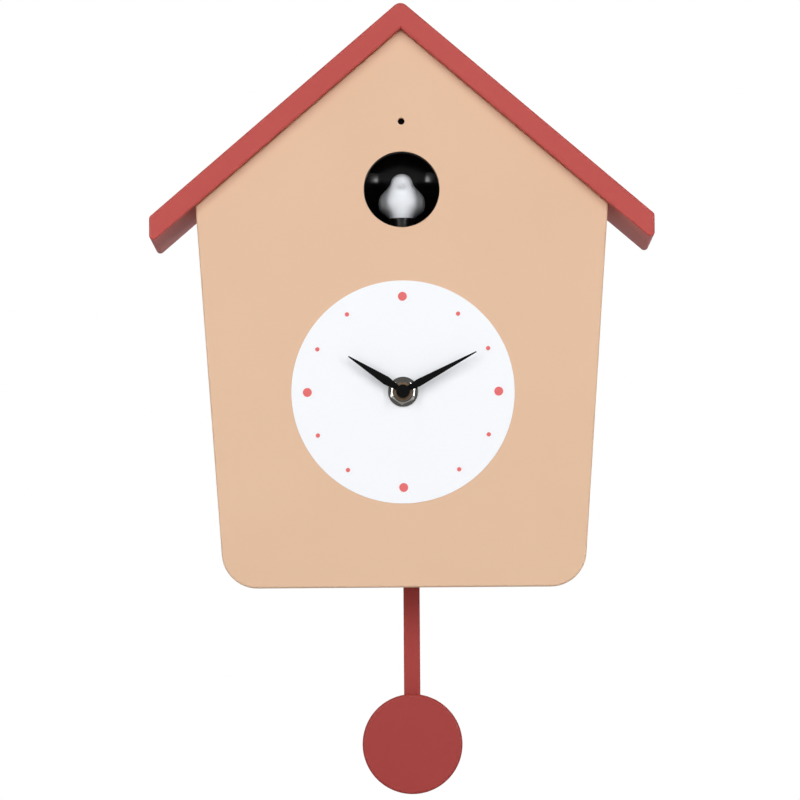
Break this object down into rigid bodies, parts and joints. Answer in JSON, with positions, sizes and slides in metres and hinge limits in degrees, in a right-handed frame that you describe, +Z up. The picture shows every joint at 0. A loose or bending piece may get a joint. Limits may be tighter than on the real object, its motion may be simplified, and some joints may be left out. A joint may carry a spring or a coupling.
{
  "type": "wall cuckoo clock",
  "caption": "House-shaped wall cuckoo clock with a red gable roof, sand front, white dial, dagger hands, a sliding white bird in a round hole and a swinging disc pendulum.",
  "frame": {"origin": "centre of the hanging keyhole's round on the back panel's rear face", "axes": "+Z up, -Y out of the dial towards the room, +X to the right seen from the front"},
  "size_m": [0.215, 0.0889, 0.3366],
  "materials": {
    "red_lacquer": "matte lacquer on fibreboard",
    "sand_lacquer": "matte lacquer on fibreboard",
    "black_moulding": "fine spark-eroded black ABS",
    "gloss_black": "polished black styrene",
    "smoke_cover": "moulded acetal",
    "dial_card": "smooth white card",
    "dot_print": "printed coral red",
    "hand_black": "black enamel",
    "chrome_plate": "bright nickel plate",
    "brass_turned": "turned brass",
    "zinc_screw": "bright zinc",
    "copper_winding": "enamelled copper wire",
    "drive_plastic": "natural acetal",
    "bird_white": "satin white ABS",
    "cone_paper": "black paper pulp",
    "board_green": "green solder mask",
    "component_black": "moulded epoxy",
    "cell_wrap": "plain shrink sleeve"
  },
  "bodies": {
    "case": {"back_panel": "black_moulding", "back_screws": "zinc_screw", "base_screws": "zinc_screw", "battery_cells": "cell_wrap", "battery_contacts": "brass_turned", "battery_tray": "black_moulding", "bay_screws": "zinc_screw", "bird_base": "black_moulding", "bird_motor": "zinc_screw", "board_screws": "zinc_screw", "bottom_board": "sand_lacquer", "clamp_nut": "chrome_plate", "clamp_washer": "chrome_plate", "dial_disc": "dial_card", "dial_dots": "dot_print", "drive_coil": "copper_winding", "drive_plate": "drive_plastic", "front_panel": "sand_lacquer", "light_sensor": "component_black", "movement_case": "black_moulding", "movement_cover": "smoke_cover", "movement_screws": "zinc_screw", "niche_hood": "gloss_black", "niche_screen": "gloss_black", "pivot_clip": "chrome_plate", "pivot_pin": "chrome_plate", "roof_left": "red_lacquer", "roof_right": "red_lacquer", "side_left": "sand_lacquer", "side_right": "sand_lacquer", "sound_board": "board_green", "sound_chip": "component_black", "speaker_basket": "zinc_screw", "speaker_cone": "cone_paper", "speaker_magnet": "zinc_screw", "step_coil": "copper_winding", "step_core": "zinc_screw", "test_switch": "component_black", "threaded_bush": "brass_turned", "volume_switch": "component_black"},
    "minute": {"centre_wheel": "brass_turned", "minute_hand": "hand_black", "hub_cap": "hand_black"},
    "hour": {"hour_wheel": "smoke_cover", "hour_hand": "hand_black"},
    "setting": {"motion_wheel": "smoke_cover", "setting_shaft": "black_moulding", "setting_knob": "black_moulding"},
    "third": {"third_wheel": "smoke_cover"},
    "pendulum": {"pendulum_hanger": "chrome_plate", "pendulum_magnet": "chrome_plate", "pendulum_bar": "red_lacquer", "pendulum_bob": "red_lacquer", "bob_screws": "zinc_screw"},
    "cuckoo": {"bird": "bird_white", "bird_carriage": "black_moulding"},
    "pinion": {"bird_pinion": "drive_plastic"},
    "door": {"battery_door": "black_moulding"},
    "volume": {"volume_slider": "black_moulding"},
    "button": {"test_button": "black_moulding"}
  },
  "joints": [
    {"name": "minute_turn", "type": "hinge", "parent": "case", "child": "minute", "pos_m": [0, -0.07, -0.112], "axis": [0, 1, 0], "continuous": true},
    {"name": "hour_turn", "type": "hinge", "parent": "case", "child": "hour", "pos_m": [0, -0.07, -0.112], "axis": [0, 1, 0], "continuous": true},
    {"name": "setting_turn", "type": "hinge", "parent": "case", "child": "setting", "pos_m": [0, -0.04, -0.1], "axis": [0, 1, 0], "continuous": true},
    {"name": "third_turn", "type": "hinge", "parent": "case", "child": "third", "pos_m": [-0.0097, -0.06, -0.1176], "axis": [0, 1, 0], "continuous": true},
    {"name": "pendulum_swing", "type": "hinge", "parent": "case", "child": "pendulum", "pos_m": [0.003, -0.045, -0.113], "axis": [0, 1, 0], "range_deg": [-8, 8]},
    {"name": "bird_slide", "type": "slide", "parent": "case", "child": "cuckoo", "axis": [0, -1, 0], "range_m": [0, 0.018]},
    {"name": "pinion_turn", "type": "hinge", "parent": "case", "child": "pinion", "pos_m": [0, -0.04664, -0.05983], "axis": [1, 0, 0], "range_deg": [0, 295]},
    {"name": "door_hinge", "type": "hinge", "parent": "case", "child": "door", "pos_m": [-0.02535, -0.0015, -0.149], "axis": [0, 0, 1], "range_deg": [0, 95]},
    {"name": "volume_slide", "type": "slide", "parent": "case", "child": "volume", "axis": [1, 0, 0], "range_m": [-0.003, 0.003]},
    {"name": "test_press", "type": "slide", "parent": "case", "child": "button", "axis": [0, -1, 0], "range_m": [0, 0.001], "stiffness_N_per_m": 300}
  ],
  "couplings": [
    {"joint": "hour_turn", "follows": "minute_turn", "ratio": 0.083333},
    {"joint": "setting_turn", "follows": "minute_turn", "ratio": -0.33333},
    {"joint": "third_turn", "follows": "minute_turn", "ratio": -6},
    {"joint": "pinion_turn", "follows": "bird_slide", "rad_per_m": 285.71}
  ]
}
